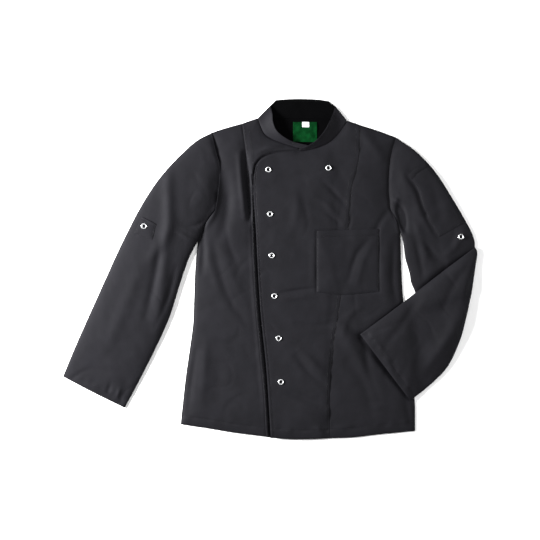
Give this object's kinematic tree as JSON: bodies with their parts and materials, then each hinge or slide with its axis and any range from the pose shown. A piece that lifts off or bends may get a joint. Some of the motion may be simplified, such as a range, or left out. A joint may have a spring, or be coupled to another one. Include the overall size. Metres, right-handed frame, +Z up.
{
  "type": "chef jacket",
  "caption": "Long-sleeved chef jacket laid flat, with a stand collar, a lapped front with ring snaps, patch pockets, and the left forearm folded over.",
  "frame": {"origin": "middle of the jacket's box, on the surface that it lies on", "axes": "+X across the jacket to the wearer's left sleeve, +Y up towards the collar, +Z up from the surface, out of the front"},
  "size_m": [0.9523, 0.7821, 0.0193],
  "materials": {
    "twill": "black poly-cotton twill, matt with a soft sheen on the folds",
    "inner_twill": "inside of the same black twill, matt",
    "label": "green woven satin label, bare",
    "tab": "white woven tape, bare",
    "metal": "nickel-plated ring snaps, polished"
  },
  "bodies": {
    "root": {"back": "inner_twill", "right_front_side": "twill", "right_front_centre": "twill", "left_front_centre": "twill", "left_front_side": "twill", "collar_back": "inner_twill", "collar_right_front": "twill", "collar_left_front": "twill", "right_sleeve": "twill", "left_sleeve_upper_arm": "twill", "left_sleeve_forearm": "twill", "chest_pocket": "twill", "pen_pocket": "twill", "right_sleeve_tab_patch": "twill", "neck_label": "label", "size_tab": "tab", "stud_top_left": "metal", "stud_front_1": "metal", "stud_front_2": "metal", "stud_front_3": "metal", "stud_front_4": "metal", "stud_front_5": "metal", "stud_front_6": "metal", "stud_right_sleeve": "metal", "stud_left_sleeve": "metal"}
  },
  "joints": []
}
